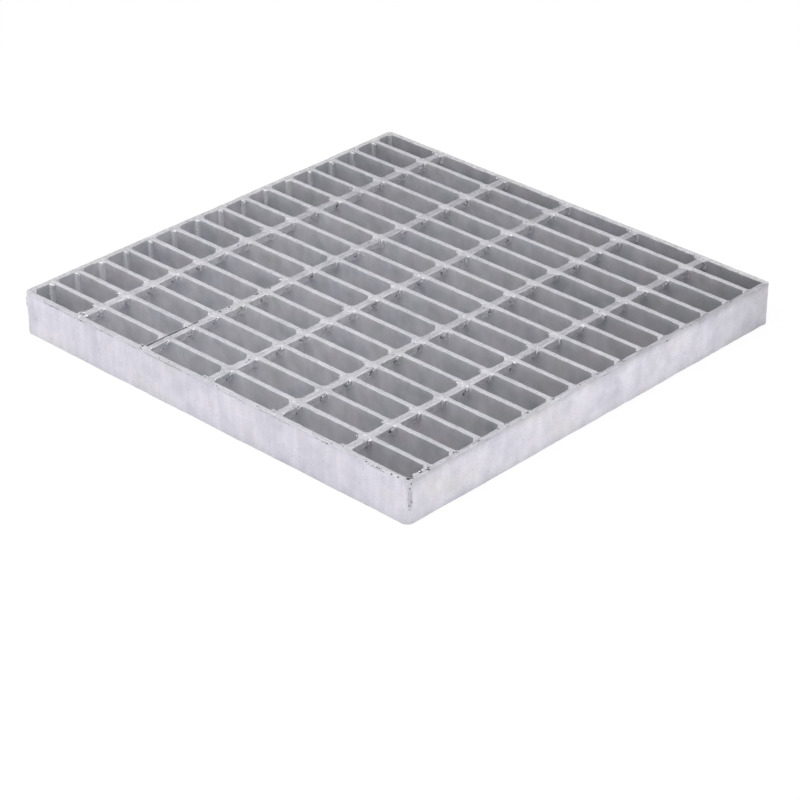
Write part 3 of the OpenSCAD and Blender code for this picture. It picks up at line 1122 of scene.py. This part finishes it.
# the crack at the cell's corner
for i in range(11):
    along = i / 10 + chance.uniform(-0.05, 0.05)
    drop(bm, (INNER + 0.9 + 2.4 * along, -INNER - 1.6 + 4.2 * along, DEPTH - 0.05),
         (chance.uniform(0.4, 0.9), chance.uniform(0.4, 0.8), 0.2), flux)
# four large crumbs of flux
for spot, size in (((221.6, -221.4), (1.7, 1.0)), ((220.9, -217.0), (0.8, 1.5)),
                   ((221.8, -207.4), (0.9, 2.2)), ((224.0, -200.5), (0.7, 1.2))):
    drop(bm, (*spot, DEPTH - 0.1), (*size, 0.22), flux)
# lumps of zinc along the right band, every third one bright, and flux between them
for i in range(LIP_COUNT):
    y = -INNER + 3 + LIP_PITCH * i
    drop(bm, (INNER + chance.uniform(-0.3, 0.9), y, DEPTH - 0.6),
         (chance.uniform(0.5, 1.1), chance.uniform(0.6, 1.3), 0.6), weld if i % 3 else bead)
    if chance.random() < 0.45:
        drop(bm, (INNER + chance.uniform(1.0, 2.8), y + 0.7, DEPTH - 0.1),
             (chance.uniform(0.3, 0.6), chance.uniform(0.4, 1.1), 0.18), flux)
# black dashes along the top edge of the front band
for x in (180.5, 183.8, 188.0, 192.5, 194.8, 207.5, 214.0):
    drop(bm, (x, -HALF + 0.6, DEPTH - 0.5), (chance.uniform(1.0, 2.3), 0.75, 0.45), flux)
roll(bm, (0.4, 0.4, 0.2), (4, 4, 5), seed=2.9)
make_piece("corner_welds", bm, finishes)
print("corner welds:", len(pieces[-1].data.polygons), "faces")

# %% [markdown]
# ## Tacks
#
# Every cross bar is tacked to the front and back bands. A tack leaves a small hump on
# each side of the bar, a bead on the band and a curl of weld wire. At the first bar that
# curl lies flat on the front band as a clear ring. A small circle that is spun round a
# point makes such a curl.

# %% Curls of weld wire
def weld_loop(bm, middle, radius, thick, finish=0):
    """A loop of weld wire metal: a small circle spun round into a ring."""
    before = set(bm.faces)
    turned = Matrix.Translation(Vector(middle) + Vector((radius, 0, 0))) @ \
        Matrix.Rotation(math.pi / 2, 4, "X")
    circle = bmesh.ops.create_circle(bm, segments=7, radius=thick, matrix=turned)["verts"]
    edges = list(dict.fromkeys(e for v in circle for e in v.link_edges))
    bmesh.ops.spin(bm, geom=circle + edges, cent=middle, axis=(0, 0, 1), dvec=(0, 0, 0),
                   angle=2 * math.pi, steps=12, use_merge=True)
    for face in bm.faces:
        if face not in before:
            face.material_index = finish


# %% Tacks
TACK = [(-4.0 - 2.6, 0.8), (-4.0, -3.4), (4.0, -2.6), (4.0 + 2.0, 0.8)]
RING = (3.6, 0.6)         # radius of the ring and of its wire
CURL_WIRE = 0.6

finishes = [zinc_on_welds, bright_beads, flux_black]
bead, flux = map(finishes.index, (bright_beads, flux_black))
bm = bmesh.new()
chance = random.Random(500)
for x in CROSS_XS:
    for side in (-1, 1):
        wall_y = side * INNER
        before = set(bm.verts)
        weld_patch(bm, TACK, DEPTH - 0.3, CROSS_DEPTH, WEB_TAPER, rim=0.7)
        fresh = [v for v in bm.verts if v not in before]
        if side < 0:
            bmesh.ops.scale(bm, vec=(1, -1, 1), verts=fresh)
        bmesh.ops.translate(bm, vec=(x, wall_y, 0), verts=fresh)
        curl = chance.uniform(1.4, 2.1)
        if x == CROSS_XS[0] and side < 0:
            weld_loop(bm, (x - 1.2, wall_y + 1.9, DEPTH - 0.4), *RING, bead)
        else:
            weld_loop(bm, (x - 6.2, wall_y - side * 0.6, DEPTH - 0.85), curl, CURL_WIRE)
        drop(bm, (x + chance.uniform(-1.6, 0.6), wall_y + side * 2.9, DEPTH - 0.55),
             (chance.uniform(1.6, 2.4), 1.5, 0.6), bead)
        drop(bm, (x + 3.2, wall_y - side * 3.4, DEPTH - 0.8), (0.9, 1.0, 0.75), bead)
        drop(bm, (x - 3.6, wall_y + side * 0.8, DEPTH - 0.5), (0.8, 0.8, 0.52), flux)
# the end of the crack, where it runs out on the front band
for x, y, long_x, long_y in ((-79.8, -219.4, 0.6, 1.5), (-77.6, -223.6, 1.9, 0.6)):
    drop(bm, (x, y, DEPTH - 0.12), (long_x, long_y, 0.25), flux)
# flux inside the ring
for off_x, off_y in ((-3.3, 2.4), (-0.6, 3.4), (0.7, 1.2)):
    drop(bm, (CROSS_XS[0] + off_x, -INNER + off_y, DEPTH - 0.3), (0.9, 0.4, 0.3), flux)
roll(bm, (0.5, 0.5, 0.15), (3, 3, 5), seed=3.7)
make_piece("cross_bar_tacks", bm, finishes)
print("tacks:", len(pieces[-1].data.polygons), "faces")

# %% [markdown]
# ## Flux specks
#
# Fine specks of burnt flux are sown on the lip of the right band, thickest near the
# front, and a few lie along the top of the front band. They are flat balls that just
# break the surface, because a painted dot would vanish when the mesh is used alone.

# %% Flux specks
DENSE_TO = 40             # specks are thick on the right band from the front to here
SPECK_SINK = 0.1
bm = bmesh.new()
chance = random.Random(600)
for y in BAR_YS:
    for _ in range(chance.randint(1, 3) if y < DENSE_TO else chance.randint(0, 1)):
        drop(bm, (INNER + chance.uniform(-0.2, 2.6), y + chance.uniform(-9, 5),
                  DEPTH - SPECK_SINK),
             (chance.uniform(0.4, 0.8), chance.uniform(0.4, 0.9), 0.14))
for x in range(-215, 216, 12):
    if chance.random() < 0.4:
        drop(bm, (x + chance.uniform(-5, 5), -HALF + chance.uniform(0.9, 1.6),
                  DEPTH - SPECK_SINK),
             (chance.uniform(0.4, 1.4), 0.35, 0.14))
make_piece("flux_specks", bm, [flux_black])
print("flux specks:", len(pieces[-1].data.polygons), "faces")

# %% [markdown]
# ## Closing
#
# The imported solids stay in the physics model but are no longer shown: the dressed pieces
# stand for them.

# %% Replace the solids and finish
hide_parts("bar_grid")
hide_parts("front_band")
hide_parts("back_band")
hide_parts("left_band")
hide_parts("right_band")
triangles = sum(sum(len(p.vertices) - 2 for p in piece.data.polygons) for piece in pieces)
print(f"{len(pieces)} pieces, {triangles} triangles")
